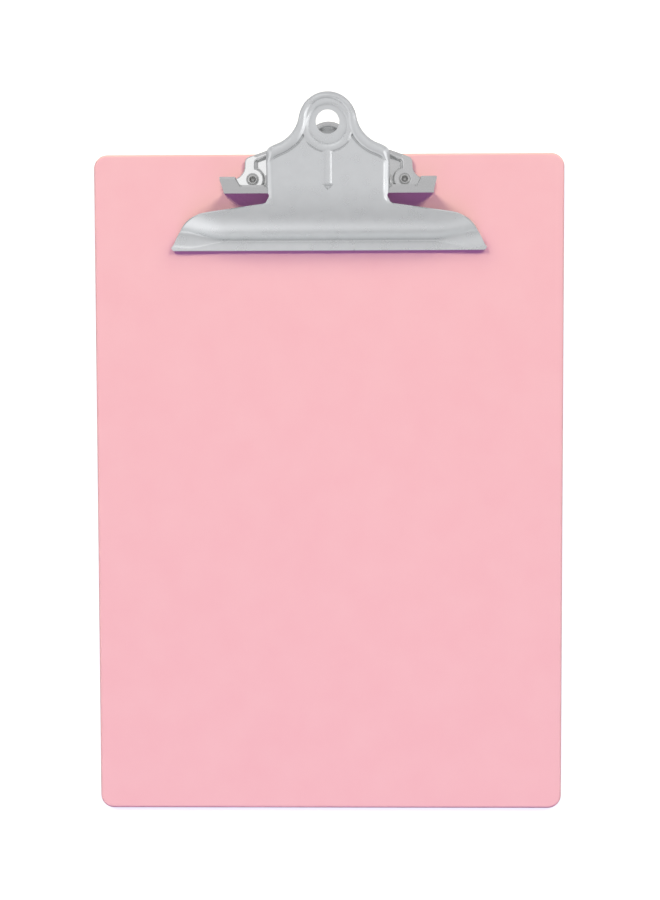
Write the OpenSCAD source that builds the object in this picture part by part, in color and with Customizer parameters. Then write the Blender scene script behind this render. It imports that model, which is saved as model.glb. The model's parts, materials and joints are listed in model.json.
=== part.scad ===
// Letter-size clipboard: a plastic board with a sprung, high-capacity steel clip.
// Frame: +Z out of the writing face, +Y towards the clip, origin at the centre of the board's back face.

/* [Board] */
// Width of the board
board_w = 228.6; // [200:0.1:300]
// Length of the board
board_l = 322; // [260:1:400]
// Thickness of the board
board_t = 3; // [2.6:0.1:5]
// Radius of the board's four corners
board_corner_r = 6.5; // [3:0.5:15]

/* [Clip] */
// Thickness of the clip's sheet steel
sheet_t = 1; // [0.8:0.1:1.1]
// Width of the jaw that holds the paper
jaw_w = 153; // [146:1:176]
// Slope of the lever's thumb plate at rest
lever_tilt = 17; // [15:1:18]
// Radius of the hanging hole in the lever
hang_hole_r = 5.4; // [4:0.1:6]
// Height of the paper stop's end posts above the board
post_h = 25; // [18:1:26]

/* [Spring and pin] */
// Radius of the pivot pin
pin_r = 1.8; // [1.5:0.1:2]
// Radius of the spring wire
wire_r = 0.85; // [0.6:0.05:0.95]
// Mean radius of the springs' coils
coil_r = 4; // [3.6:0.1:4.4]
// Whole turns of each torsion spring, before its two legs
coil_turns = 4; // [3:1:5]

/* [Hidden] */
$fn = 64;

steel = [0.78, 0.78, 0.77];
wire_steel = [0.6, 0.6, 0.62];
face_z = board_t;              // height of the writing face
top_edge = board_l / 2;        // the board's clip end
through = 20;                  // length of a cutter that passes right through a sheet

// pivot
pivot_y = top_edge - 15.5;
pivot_z = face_z + 15;
bush_gap = 0.05;               // radial clearance of the pin in the base's ears
run_gap = 0.08;                // radial clearance of the lever on the pin
boss_r = 5;                    // rounded end of each ear and flange round the pin

// lever, whose own frame has its origin at the hanging hole and +Y up the thumb plate
hole_at = [top_edge + 8, face_z + 33];
ring_r = 13.4;                 // outer radius of the thumb ring
lever_half_w = 28.8;
neck_c = [28.7, 5.2];          // centre of the concave curve between the ring and a shoulder
neck_r = norm(neck_c) - ring_r;
shoulder_r = 3.4;
shoulder_y = neck_c.y - neck_r - shoulder_r;
body_len = 27.4;               // from the hanging hole to where the hood starts to curve
hood_r = 34;
hood_slope = 64;
crease_r = 0.8;
lip_rise = 9;                  // the lip turns up by this angle, so that paper slides in
lip_len = 4.2;
jaw_gap = 0.12;                // between the jaw's crease and the board
bead_r = 1.6;                  // half width of the pressed beads
bead_sink = 0.5;               // how far a bead's axis lies under the sheet's upper face
ring_bead_r = 10.4;            // radius of the thumb ring's bead
edge_roll_r = 1.8;             // half width of the rolled edge round the ring
edge_roll_in = 1.5;            // from the sheet's edge to the roll's crest
rib_len = 28.5;                // from the hanging hole to the end of the middle rib

// base plate
floor_top = face_z + sheet_t;
pad_rise = 1;                  // the legs and rivet pads are pressed up by this much
pad_top = floor_top + pad_rise;
stop_y = top_edge - 19.2;      // front face of the paper stop, at the board
stop_lean = 7.3;               // the stop leans back from the paper
stop_half_w = 50.6;
stop_mid_h = 12;
stop_low_h = 7;                // under the lever, clear of its flanges
base_ring_y = top_edge + 4;
base_ring_r = 11.3;
base_hole_r = 3.9;
ear_x = 26.6;                  // outer face of each ear
window_x = [5, 25.2];          // span of each opening that an ear was bent out of
window_y = [pivot_y, top_edge - 3];

// rivets
rivet_at = [36.8, top_edge - 12.6];
rivet_r = 1.9;
rivet_hollow_r = 1.4;
rivet_rim_r = 2.4;
rivet_rim_h = 0.7;
rivet_head_r = 4.2;
rivet_head_t = 0.9;
counterbore_depth = rivet_head_t + 0.15;
rivet_gap = 0.05;

// ---- shared functions ----
function arc(c, r, a0, a1, n = 12) =
    [for (i = [0:n]) let (a = a0 + (a1 - a0) * i / n) c + r * [cos(a), sin(a)]];
function reversed(list) = [for (i = [len(list) - 1:-1:0]) list[i]];
function with_mirror(half) = concat(half, [for (p = reversed(half)) [-p.x, p.y]]);

module prism(points, z0, z1) {
    translate([0, 0, z0]) linear_extrude(z1 - z0) polygon(points);
}

// a profile drawn in Y and Z, as thick as t along +X from x0
module side_plate(points, x0, t) {
    translate([x0, 0, 0]) rotate([90, 0, 90]) linear_extrude(t) polygon(points);
}

// the pin's hole, through the ears and flanges only
module cross_hole(r) {
    reach = lever_half_w + 1;
    translate([-reach, pivot_y, pivot_z]) rotate([0, 90, 0]) cylinder(r = r, h = 2 * reach);
}

// the upper half of a round bar bent into a ring, for a bead pressed up out of a sheet
module ring_bead(r, half_w = bead_r) {
    rotate_extrude() translate([r, 0]) intersection() {
        circle(r = half_w);
        translate([-half_w, 0]) square([2 * half_w, half_w]);
    }
}

// ---- board ----
module board() {
    inner_w = board_w - 2 * board_corner_r;
    inner_l = board_l - 2 * board_corner_r;
    color([0.96, 0.73, 0.76])
    difference() {
        union() {
            translate([-board_w / 2, -inner_l / 2, 0]) cube([board_w, inner_l, board_t]);
            translate([-inner_w / 2, -board_l / 2, 0]) cube([inner_w, board_l, board_t]);
            for (x = [-1, 1], y = [-1, 1])
                translate([x * inner_w / 2, y * inner_l / 2, 0]) cylinder(r = board_corner_r, h = board_t);
        }
        for (side = [-1, 1]) translate([side * rivet_at.x, rivet_at.y, 0]) {
            translate([0, 0, -through / 2]) cylinder(r = rivet_r + rivet_gap, h = through);
            translate([0, 0, counterbore_depth - through]) cylinder(r = rivet_head_r + 0.2, h = through);
        }
    }
}

// ---- base plate ----
// half outline of the base's sheet, from the ring's top round to the paper stop
rear_neck_r = 12;
rear_neck_c = [17.94, base_ring_y + 14.89];
rear_neck_a = atan2(rear_neck_c.y - base_ring_y, rear_neck_c.x);
wing_neck_r = 6.5;
leg_x = 40.5;
wing_y = top_edge - 12.5;
base_half = concat(
    arc([0, base_ring_y], base_ring_r, 90, rear_neck_a),
    reversed(arc(rear_neck_c, rear_neck_r, 250, 180 + rear_neck_a, 6)),
    [[leg_x, top_edge - 2.6], [leg_x, wing_y + wing_neck_r]],
    arc([leg_x + wing_neck_r, wing_y + wing_neck_r], wing_neck_r, 190, 270, 6),
    [[stop_half_w, wing_y], [stop_half_w, stop_y]]);
pad_half_w = 3.6;              // each leg's raised pad, which widens into a round seat for the rivet
pad_seat_r = 5.4;

// the paper stop's face, drawn flat in X and height
module paper_stop() {
    low_x = 29.2;
    step_x = 42;
    post_in_x = 43.2;
    half = [[0, stop_low_h], [low_x, stop_low_h], [low_x + 0.8, stop_mid_h], [step_x, stop_mid_h],
            [post_in_x, post_h], [stop_half_w, post_h], [stop_half_w, 0]];
    intersection() {
        translate([0, stop_y, face_z]) rotate([90 - stop_lean, 0, 0]) mirror([0, 0, 1])
            linear_extrude(sheet_t) polygon(with_mirror(half));
        translate([-stop_half_w, stop_y, face_z]) cube([2 * stop_half_w, through, post_h + 1]);
    }
}

// one of the two ears that stand up beside the lever's flanges and hold the pin
module ear(x0) {
    root_z = floor_top - 0.5;
    root_back = window_y[1] + 1;
    round_end = arc([pivot_y, pivot_z], boss_r, 180, 40);
    side_plate(concat(round_end, [[root_back, root_z], [pivot_y - 3, root_z]]), x0, sheet_t);
}

module base_plate() {
    color(steel)
    difference() {
        union() {
            difference() {
                prism(with_mirror(base_half), face_z, floor_top);
                for (side = [0, 1]) mirror([side, 0, 0])
                    translate([window_x[0], window_y[0], -through / 2])
                        cube([window_x[1] - window_x[0], window_y[1] - window_y[0], through]);
            }
            for (side = [-1, 1]) {
                translate([side * rivet_at.x, rivet_at.y, face_z]) cylinder(r = pad_seat_r, h = pad_top - face_z);
                translate([side * rivet_at.x - pad_half_w, rivet_at.y, face_z])
                    cube([2 * pad_half_w, top_edge - 3 - rivet_at.y, pad_top - face_z]);
            }
            paper_stop();
            translate([0, base_ring_y, floor_top - bead_sink]) ring_bead(base_ring_r - bead_r - 1);
            ear(ear_x - sheet_t);
            ear(-ear_x);
        }
        translate([0, base_ring_y, -through / 2]) cylinder(r = base_hole_r, h = through);
        for (side = [-1, 1]) translate([side * rivet_at.x, rivet_at.y, 0])
            cylinder(r = rivet_r + rivet_gap, h = through);
        cross_hole(pin_r + bush_gap);
    }
}

// ---- lever ----
// The sheet's side profile: its upper face as [y, z, slope], from the ring's end to the lip's edge.
function heading(a) = [-cos(a), -sin(a)];
function upward(a) = [-sin(a), cos(a)];
function bend(c, r, a0, a1, n) =
    [for (i = [0:n]) let (a = a0 + (a1 - a0) * i / n, p = c + r * upward(a)) [p.x, p.y, a]];
tip_at = hole_at - (ring_r + 1) * heading(lever_tilt);
hood_c = hole_at + body_len * heading(lever_tilt) - hood_r * upward(lever_tilt);
slope_at = hood_c + hood_r * upward(hood_slope);
crease_z = face_z + jaw_gap + sheet_t;
slope_drop = slope_at.y - crease_z - crease_r * (1 - cos(hood_slope));
crease_c = slope_at + slope_drop / sin(hood_slope) * heading(hood_slope) + crease_r * upward(hood_slope);
edge_at = crease_c - crease_r * upward(-lip_rise) + lip_len * heading(-lip_rise);
skin = concat(
    [[tip_at.x, tip_at.y, lever_tilt]],
    bend(hood_c, hood_r, lever_tilt, hood_slope, 12),
    bend(crease_c, -crease_r, hood_slope, -lip_rise, 8),
    [[edge_at.x, edge_at.y, -lip_rise]]);
skin_profile = concat([for (p = skin) [p[0], p[1]]],
                      reversed([for (p = skin) [p[0], p[1]] - sheet_t * upward(p[2])]));

// half outline of the thumb plate and body, in the lever's own frame
neck_a = atan2(neck_c.y, neck_c.x);
corner_r = 2.6;                // fillet between the body and the jaw
body_half = concat(
    arc([0, 0], ring_r, 90, neck_a),
    reversed(arc(neck_c, neck_r, 256, 180 + neck_a)),
    arc([lever_half_w - shoulder_r, shoulder_y], shoulder_r, 80, 0, 6),
    [[lever_half_w, -body_len], [lever_half_w - 1, -body_len - 12]]);
// half outline of the jaw, seen from above
jaw_back = top_edge - 26.6;
jaw_half_w = jaw_w / 2;
jaw_half = concat(
    [[0, jaw_back + 4], [lever_half_w, jaw_back + 1]],
    arc([lever_half_w + corner_r, jaw_back + 1.6], corner_r, 180, 262, 6),
    [[jaw_half_w - 30, jaw_back - 3], [jaw_half_w - 17.5, jaw_back - 4.6],
     [jaw_half_w - 13, jaw_back - 5.9], [jaw_half_w - 9, jaw_back - 7.9],
     [jaw_half_w - 5.6, jaw_back - 10.6], [jaw_half_w - 3, jaw_back - 13.6],
     [jaw_half_w - 1.2, jaw_back - 17], [jaw_half_w, jaw_back - 20],
     [jaw_half_w - 0.4, jaw_back - 21], [jaw_half_w - 1.4, jaw_back - 22]]);

module in_lever_frame() {
    translate([0, hole_at.x, hole_at.y]) rotate([lever_tilt, 0, 0]) children();
}

// one of the two side flanges that turn on the pin, bent down from the body's edge
module flange(x0) {
    flange_depth = 8;
    from_hole = [pivot_y - hole_at.x, pivot_z - hole_at.y];
    local = [from_hole.x * cos(lever_tilt) + from_hole.y * sin(lever_tilt),
             from_hole.y * cos(lever_tilt) - from_hole.x * sin(lever_tilt)];
    outline = concat([[-body_len, -sheet_t / 2], [shoulder_y, -sheet_t / 2],
                      [shoulder_y, -flange_depth / 2], [shoulder_y - 2, -flange_depth + 1.5]],
                     arc(local, boss_r, 20, -170),
                     [[-body_len, -flange_depth]]);
    in_lever_frame() side_plate(outline, x0, sheet_t);
}

module clip_lever() {
    color(steel)
    difference() {
        union() {
            intersection() {
                side_plate(skin_profile, -lever_half_w - 1, 2 * lever_half_w + 2);
                in_lever_frame() prism(with_mirror(body_half), -9, 3);
            }
            intersection() {
                side_plate(skin_profile, -jaw_half_w - 1, 2 * jaw_half_w + 2);
                prism(with_mirror(jaw_half), face_z, hole_at.y);
            }
            in_lever_frame() translate([0, 0, -bead_sink]) {
                ring_bead(ring_bead_r);
                ring_bead(ring_r - edge_roll_in, edge_roll_r);
                intersection() {
                    translate([0, -ring_bead_r, 0]) rotate([90, 0, 0])
                        cylinder(r = bead_r, h = rib_len - ring_bead_r);
                    translate([-bead_r, -rib_len, 0]) cube([2 * bead_r, rib_len, bead_r]);
                }
            }
            flange(-lever_half_w);
            flange(lever_half_w - sheet_t);
        }
        in_lever_frame() translate([0, 0, -through / 2]) cylinder(r = hang_hole_r, h = through);
        cross_hole(pin_r + run_gap);
    }
}

// ---- pin, springs and rivets ----
module pivot_pin() {
    head_r = 2.7;
    head_t = 1.2;
    shank = lever_half_w + 0.15;
    half = [[pin_r, shank], [head_r, shank], [head_r, shank + head_t / 2],
            [head_r * 0.7, shank + head_t], [0, shank + head_t]];
    profile = concat(half, [for (p = reversed(half)) [p.x, -p.y]]);
    color(steel) translate([0, pivot_y, pivot_z]) rotate([0, 90, 0]) rotate_extrude() polygon(profile);
}

// A torsion spring: one leg on the base's sheet, the coil round the pin, one leg under the lever.
// Both legs point to the rear, and squeezing the clip winds the coil up.
coil_x = 10;                   // inner end of each coil, from the middle
pitch = 2 * wire_r + 0.12;
touch = wire_r + 0.08;         // from the wire's axis to the sheet that it bears on
lower_foot = [14, floor_top + touch - pivot_z];
upper_foot = hole_at + 13 * heading(lever_tilt) - (sheet_t + touch) * upward(lever_tilt) - [pivot_y, pivot_z];
function polar(p) = atan2(p.y, p.x);
function lead(p) = acos(coil_r / norm(p));
lower_a = polar(lower_foot) - lead(lower_foot);
upper_a = polar(upper_foot) + lead(upper_foot) - 360 * coil_turns - 360;
wire_sides = 8;
coil_steps = 18 * (coil_turns + 1);
function coil_point(a) = [coil_x + pitch * (lower_a - a) / 360, coil_r * cos(a), coil_r * sin(a)];
coil_path = [for (i = [0:coil_steps]) coil_point(lower_a + (upper_a - lower_a) * i / coil_steps)];
spring_path = concat([[coil_x, lower_foot.x, lower_foot.y]], coil_path,
                     [[coil_path[coil_steps].x, upper_foot.x, upper_foot.y]]);

function unit(v) = v / norm(v);
function along(path, i) =
    unit(path[min(i + 1, len(path) - 1)] - path[max(i - 1, 0)]);
// a ring of points about the path; X is never along it, so the ring's frame doesn't twist
function wire_ring(path, i) =
    let (t = along(path, i), side = unit(cross(t, [1, 0, 0])), up = cross(side, t))
    [for (k = [0:wire_sides - 1]) let (a = 360 * k / wire_sides)
        path[i] + wire_r * (cos(a) * side + sin(a) * up)];

module wire(path) {
    rings = len(path);
    points = [for (i = [0:rings - 1]) each wire_ring(path, i)];
    sides = [for (i = [0:rings - 2], k = [0:wire_sides - 1]) let (n = (k + 1) % wire_sides)
        [i * wire_sides + k, i * wire_sides + n, (i + 1) * wire_sides + n, (i + 1) * wire_sides + k]];
    first = [for (k = [wire_sides - 1:-1:0]) k];
    last = [for (k = [0:wire_sides - 1]) (rings - 1) * wire_sides + k];
    polyhedron(points = points, faces = concat(sides, [first, last]));
}

module spring_right() {
    color(wire_steel) translate([0, pivot_y, pivot_z]) wire(spring_path);
}

module spring_left() {
    mirror([1, 0, 0]) spring_right();
}

module rivet(side) {
    head_z = 0.1;
    rim_z = pad_top + 0.02;
    profile = [[0, head_z], [rivet_head_r, head_z], [rivet_head_r, head_z + rivet_head_t],
               [rivet_r, head_z + rivet_head_t], [rivet_r, rim_z], [rivet_rim_r, rim_z],
               [rivet_rim_r, rim_z + rivet_rim_h / 2], [rivet_r, rim_z + rivet_rim_h],
               [rivet_hollow_r, rim_z + rivet_rim_h], [rivet_hollow_r, 2 * rivet_head_t], [0, 2 * rivet_head_t]];
    color([0.8, 0.8, 0.8]) translate([side * rivet_at.x, rivet_at.y, 0]) rotate_extrude() polygon(profile);
}

board();
base_plate();
clip_lever();
pivot_pin();
spring_left();
spring_right();
rivet(-1);  // rivet_left
rivet(1);  // rivet_right
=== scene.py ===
"""A letter-size clipboard in pink plastic with a satin nickel clip: its visual model, materials,
light and camera.

Lengths are in millimetres until a mesh is made. X is across the board, Y runs towards the clip and Z is
out of the writing face. Heights on the clip are measured from the writing face, and T is the distance
beyond the board's clip end, so that points on the board have a negative T.
"""
import json
import math

import bpy
import numpy as np
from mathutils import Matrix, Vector
from mathutils.geometry import delaunay_2d_cdt
from mathutils.kdtree import KDTree


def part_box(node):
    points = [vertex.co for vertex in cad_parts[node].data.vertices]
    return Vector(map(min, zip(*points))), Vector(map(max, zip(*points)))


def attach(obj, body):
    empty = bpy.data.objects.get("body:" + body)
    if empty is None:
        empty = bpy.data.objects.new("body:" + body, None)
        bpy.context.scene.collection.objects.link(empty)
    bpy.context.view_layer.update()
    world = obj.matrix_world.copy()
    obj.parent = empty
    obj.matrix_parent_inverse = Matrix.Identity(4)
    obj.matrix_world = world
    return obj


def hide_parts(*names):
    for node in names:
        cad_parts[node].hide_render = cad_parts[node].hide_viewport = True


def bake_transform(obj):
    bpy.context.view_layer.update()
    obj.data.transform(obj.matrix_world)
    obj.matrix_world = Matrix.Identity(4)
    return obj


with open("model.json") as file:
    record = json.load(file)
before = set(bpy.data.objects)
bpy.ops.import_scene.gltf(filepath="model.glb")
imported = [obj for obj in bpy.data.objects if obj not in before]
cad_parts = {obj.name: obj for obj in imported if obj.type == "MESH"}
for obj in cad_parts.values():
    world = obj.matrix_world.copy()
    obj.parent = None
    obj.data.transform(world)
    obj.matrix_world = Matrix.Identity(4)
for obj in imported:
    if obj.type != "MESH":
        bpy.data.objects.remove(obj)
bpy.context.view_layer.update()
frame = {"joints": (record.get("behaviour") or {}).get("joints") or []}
MM = 0.001


# ---- the frame's own measures ----
def node_box(node):
    low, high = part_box(node)
    return np.array(low) / MM, np.array(high) / MM


def hinge_centre(name):
    for joint in frame["joints"]:
        if joint["name"] == name:
            return np.array(joint["pos_m"]) / MM
    raise KeyError(name)


BOARD_HIGH = node_box("board")[1]
FACE = BOARD_HIGH[2]                # height of the writing face
TOP = BOARD_HIGH[1]                 # Y of the board's clip end
PIVOT = hinge_centre("jaw_hinge")
LEVER_HIGH = node_box("clip_lever")[1]
BASE_HIGH = node_box("base_plate")[1]
SHEET = 1.0                         # thickness of both stampings
HOLE_GAP = 0.2                      # a sheet's fill points keep this far from its holes
LINE_GAP = 0.14                     # and its grid points this far from the lines that follow its relief
CUT_EDGE = 0.06                     # nearer the outline, a sheet keeps its mesh's own normals


# ---- small geometry helpers ----
def arc(centre, radius, start, end, count=24):
    angles = np.radians(np.linspace(start, end, count))
    return [(centre[0] + radius * math.cos(a), centre[1] + radius * math.sin(a)) for a in angles]


def circle(centre, radius, count=40):
    return arc(centre, radius, 0, 360 - 360 / count, count)


def both_sides(half):
    """A closed outline from its right half, which starts and ends on the middle line."""
    left = [(-x, y) for x, y in reversed(half) if x > 1e-6]
    return half + left


def resample(points, step, closed=True):
    """The same polyline with no segment longer than step. Its own corners stay."""
    points = np.array(points, float)
    ends = np.roll(points, -1, axis=0) if closed else points[1:]
    out = []
    for a, b in zip(points if closed else points[:-1], ends):
        count = max(1, int(math.ceil(np.linalg.norm(b - a) / step)))
        out += [a + (b - a) * i / count for i in range(count)]
    if not closed:
        out.append(points[-1])
    return np.array(out)


def inside(points, polygon):
    """True for each point that lies in the closed polygon."""
    x, y = points[:, 0], points[:, 1]
    result = np.zeros(len(points), bool)
    for (x0, y0), (x1, y1) in zip(polygon, np.roll(polygon, -1, axis=0)):
        crosses = (y0 > y) != (y1 > y)
        with np.errstate(divide="ignore", invalid="ignore"):
            result ^= crosses & (x < (x1 - x0) * (y - y0) / (y1 - y0) + x0)
    return result


def distance(points, line, closed=False):
    """The distance from each point to a polyline."""
    ends = np.roll(line, -1, axis=0) if closed else line[1:]
    best = np.full(len(points), 1e9)
    for a, b in zip(line if closed else line[:-1], ends):
        ab = b - a
        t = np.clip(((points - a) @ ab) / max(ab @ ab, 1e-12), 0, 1)
        best = np.minimum(best, np.linalg.norm(points - a - t[:, None] * ab, axis=1))
    return best


def smooth(low, high, value):
    t = np.clip((value - low) / (high - low), 0, 1)
    return t * t * (3 - 2 * t)


def grid(x_low, x_high, x_step, y_low, y_high, y_step):
    xs = np.linspace(x_low, x_high, max(2, int(round((x_high - x_low) / x_step)) + 1))
    ys = np.linspace(y_low, y_high, max(2, int(round((y_high - y_low) / y_step)) + 1))
    return np.array([(x, y) for y in ys for x in xs])


# ---- mesh makers ----
def mesh_object(name, points, faces, sharp_angle=35):
    mesh = bpy.data.meshes.new(name)
    corners = [tuple(int(i) for i in face) for face in faces]
    mesh.from_pydata([tuple(p) for p in np.array(points) * MM], [], corners)
    mesh.validate()
    mesh.update()
    mesh.shade_smooth()
    mesh.set_sharp_from_angle(angle=math.radians(sharp_angle))
    piece = bpy.data.objects.new(name, mesh)
    bpy.context.collection.objects.link(piece)
    return piece


def flat_mesh(outline, holes, fill):
    """Triangulates an outline with holes through the fill points. Returns 2D points and triangles."""
    loops = [np.array(outline)] + [np.array(h) for h in holes]
    points, edges = [], []
    for loop in loops:
        first = len(points)
        points += [tuple(p) for p in loop]
        edges += [(first + i, first + (i + 1) % len(loop)) for i in range(len(loop))]
    points += [tuple(p) for p in fill]
    made = delaunay_2d_cdt([Vector(p) for p in points], edges, [], 0, 1e-5)
    flat = np.array([tuple(p) for p in made[0]])
    triangles = np.array([tuple(f) for f in made[2]])
    middle = flat[triangles].mean(axis=1)
    keep = inside(middle, loops[0])
    for loop in loops[1:]:
        keep &= ~inside(middle, loop)
    triangles = triangles[keep]
    a, b, c = (flat[triangles[:, i]] for i in range(3))
    area = (b[:, 0] - a[:, 0]) * (c[:, 1] - a[:, 1]) - (b[:, 1] - a[:, 1]) * (c[:, 0] - a[:, 0])
    triangles = triangles[np.abs(area) > 1e-7]
    area = area[np.abs(area) > 1e-7]
    triangles[area < 0] = triangles[area < 0][:, ::-1]
    used = np.unique(triangles)
    index = np.full(len(flat), -1)
    index[used] = np.arange(len(used))
    return flat[used], index[triangles]


def clear_of(points, lines, gap):
    """The points that are at least gap away from every closed line."""
    keep = np.ones(len(points), bool)
    for line in lines:
        keep &= distance(points, line, closed=True) > gap
    return points[keep]


def vertex_normals(points, triangles):
    a, b, c = (points[triangles[:, i]] for i in range(3))
    face = np.cross(b - a, c - a)
    normals = np.zeros_like(points)
    for i in range(3):
        np.add.at(normals, triangles[:, i], face)
    return normals / np.maximum(np.linalg.norm(normals, axis=1), 1e-12)[:, None]


def surface_normals(surface, flat, step=0.03):
    """The upward normals of a surface that is a function of flat points."""
    across = surface(flat + (step, 0)) - surface(flat - (step, 0))
    along_v = surface(flat + (0, step)) - surface(flat - (0, step))
    normals = np.cross(across, along_v)
    return normals / np.maximum(np.linalg.norm(normals, axis=1), 1e-12)[:, None]


def thick_sheet(points, triangles, thickness):
    """A closed solid whose upper face is the given surface. Returns its points and faces."""
    count = len(points)
    under = points - thickness * vertex_normals(points, triangles)
    sides = {}
    for t in triangles:
        for i in range(3):
            edge = (t[i], t[(i + 1) % 3])
            if (edge[1], edge[0]) in sides:
                del sides[(edge[1], edge[0])]
            else:
                sides[edge] = True
    faces = [tuple(t) for t in triangles]
    faces += [tuple(count + i for i in reversed(t)) for t in triangles]
    faces += [(b, a, count + a, count + b) for a, b in sides]
    return np.vstack([points, under]), faces


def shade_by(piece, normals):
    """Shades a thick sheet's two faces with its surface's normals. All else stays as it is."""
    mesh = piece.data
    count = len(normals)
    corners = np.zeros(len(mesh.loops), int)
    mesh.loops.foreach_get("vertex_index", corners)
    custom = np.zeros((len(corners), 3))
    for face in mesh.polygons:
        if len(face.vertices) != 3 or max(face.vertices) >= 2 * count:
            continue
        side = 1 if max(face.vertices) < count else -1
        if side < 0 and min(face.vertices) < count:
            continue
        for i in face.loop_indices:
            custom[i] = side * normals[corners[i] % count]
    mesh.normals_split_custom_set([tuple(n) for n in custom])


def lathe(name, profile, centre, axis="Z", steps=48):
    """A turned piece. The profile is (radius, height) from end to end, and on the axis at both."""
    points, faces, rows = [], [], []
    for radius, height in profile:
        if radius < 1e-6:
            rows.append([len(points)])
            points.append((0, 0, height))
            continue
        rows.append(list(range(len(points), len(points) + steps)))
        turns = [2 * math.pi * k / steps for k in range(steps)]
        points += [(radius * math.cos(a), radius * math.sin(a), height) for a in turns]
    for low, high in zip(rows, rows[1:]):
        for k in range(steps):
            n = (k + 1) % steps
            corners = [low[k % len(low)], low[n % len(low)], high[n % len(high)], high[k % len(high)]]
            faces.append(list(dict.fromkeys(corners)))
    points = np.array(points)
    if axis == "X":
        points = points[:, [2, 0, 1]]
    return mesh_object(name, points + np.array(centre), faces, 40)


def tube(name, path, radius, sides=14):
    """A round wire along a path that never runs along X, with rounded ends."""
    path = np.array(path)
    steps = np.gradient(path, axis=0)
    steps /= np.linalg.norm(steps, axis=1)[:, None]
    points, faces = [], []
    sizes = [0.55, 0.9] + [1.0] * (len(path) - 4) + [0.9, 0.55]
    for p, t, size in zip(path, steps, sizes):
        side = np.cross(t, (1, 0, 0))
        side /= np.linalg.norm(side)
        up = np.cross(side, t)
        points += [p + radius * size * (math.cos(a) * side + math.sin(a) * up)
                   for a in np.linspace(0, 2 * math.pi, sides, endpoint=False)]
    for i in range(len(path) - 1):
        for k in range(sides):
            n = (k + 1) % sides
            faces.append((i * sides + k, i * sides + n, (i + 1) * sides + n, (i + 1) * sides + k))
    faces.append(tuple(reversed(range(sides))))
    faces.append(tuple(range(len(points) - sides, len(points))))
    return mesh_object(name, points, faces, 60)


# ---- materials ----
def new_material(name):
    material = bpy.data.materials.new(name)
    material.use_nodes = True
    tree = material.node_tree
    shader = next(n for n in tree.nodes if n.type == "BSDF_PRINCIPLED")
    coordinates = tree.nodes.new("ShaderNodeTexCoord")
    return material, tree, shader, coordinates.outputs["Object"]


def noise(tree, source, scale, detail=3):
    texture = tree.nodes.new("ShaderNodeTexNoise")
    texture.inputs["Scale"].default_value = scale
    texture.inputs["Detail"].default_value = detail
    tree.links.new(source, texture.inputs["Vector"])
    return texture.outputs["Fac"]


def span(tree, value, low, high):
    """A noise value, which is mostly 0.25 to 0.75, carried over to low to high."""
    node = tree.nodes.new("ShaderNodeMapRange")
    node.inputs["From Min"].default_value = 0.25
    node.inputs["From Max"].default_value = 0.75
    node.inputs["To Min"].default_value = low
    node.inputs["To Max"].default_value = high
    tree.links.new(value, node.inputs["Value"])
    return node.outputs["Result"]


def mix_colours(tree, factor, low, high):
    node = tree.nodes.new("ShaderNodeMix")
    node.data_type = "RGBA"
    tree.links.new(factor, node.inputs["Factor"])
    node.inputs["A"].default_value = (*low, 1)
    node.inputs["B"].default_value = (*high, 1)
    return node.outputs["Result"]


def bump(tree, shader, layers):
    """Bumps on the shader's normal. Each layer is (height, strength, distance in metres)."""
    normal = None
    for height, strength, depth in layers:
        node = tree.nodes.new("ShaderNodeBump")
        node.inputs["Strength"].default_value = strength
        node.inputs["Distance"].default_value = depth
        tree.links.new(height, node.inputs["Height"])
        if normal is not None:
            tree.links.new(normal, node.inputs["Normal"])
        normal = node.outputs["Normal"]
    tree.links.new(normal, shader.inputs["Normal"])


def board_plastic():
    material, tree, shader, place = new_material("board_plastic_pink")
    cloud = span(tree, noise(tree, place, 60, 5), 0, 1)
    grain = noise(tree, place, 900, 2)
    mottle = noise(tree, place, 210, 3)
    colour = mix_colours(tree, cloud, (0.918, 0.500, 0.528), (0.932, 0.530, 0.552))
    tree.links.new(colour, shader.inputs["Base Color"])
    tree.links.new(span(tree, mottle, 0.40, 0.50), shader.inputs["Roughness"])
    shader.inputs["Specular IOR Level"].default_value = 0.45
    bump(tree, shader, [(mottle, 0.10, 0.0003), (grain, 0.16, 0.00008)])
    return material


def painted_recess_shade(tree, colour, reach):
    """The colour darkened in the piece's own narrow recesses and creases: painted shade for the shadow that
    falls there.
    """
    node = tree.nodes.new("ShaderNodeAmbientOcclusion")
    node.only_local = True
    node.samples = 8
    node.inputs["Distance"].default_value = reach
    depth = tree.nodes.new("ShaderNodeMapRange")
    depth.inputs["From Min"].default_value = 0.40
    depth.inputs["From Max"].default_value = 0.92
    depth.inputs["To Min"].default_value = 0.2
    tree.links.new(node.outputs["AO"], depth.inputs["Value"])
    recess_shaded = tree.nodes.new("ShaderNodeVectorMath")
    recess_shaded.operation = "SCALE"
    tree.links.new(colour, recess_shaded.inputs[0])
    tree.links.new(depth.outputs["Result"], recess_shaded.inputs["Scale"])
    return recess_shaded.outputs["Vector"]


# reach is how far the painted recess shade looks for the piece's own surfaces
def nickel(name, colour, rough_low, rough_high, grain_strength, reach=0.003):
    material, tree, shader, place = new_material(name)
    shade = tuple(c * 0.95 for c in colour)
    patches = noise(tree, place, 160, 3)
    grain = noise(tree, place, 2600, 2)
    plating = mix_colours(tree, span(tree, patches, 0, 1), shade, colour)
    # painted shade: the plating colour is darkened where the piece's own surfaces close round it
    tree.links.new(painted_recess_shade(tree, plating, reach), shader.inputs["Base Color"])
    tree.links.new(span(tree, patches, rough_low, rough_high), shader.inputs["Roughness"])
    shader.inputs["Metallic"].default_value = 1
    bump(tree, shader, [(grain, grain_strength, 0.00003)])
    return material


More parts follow.
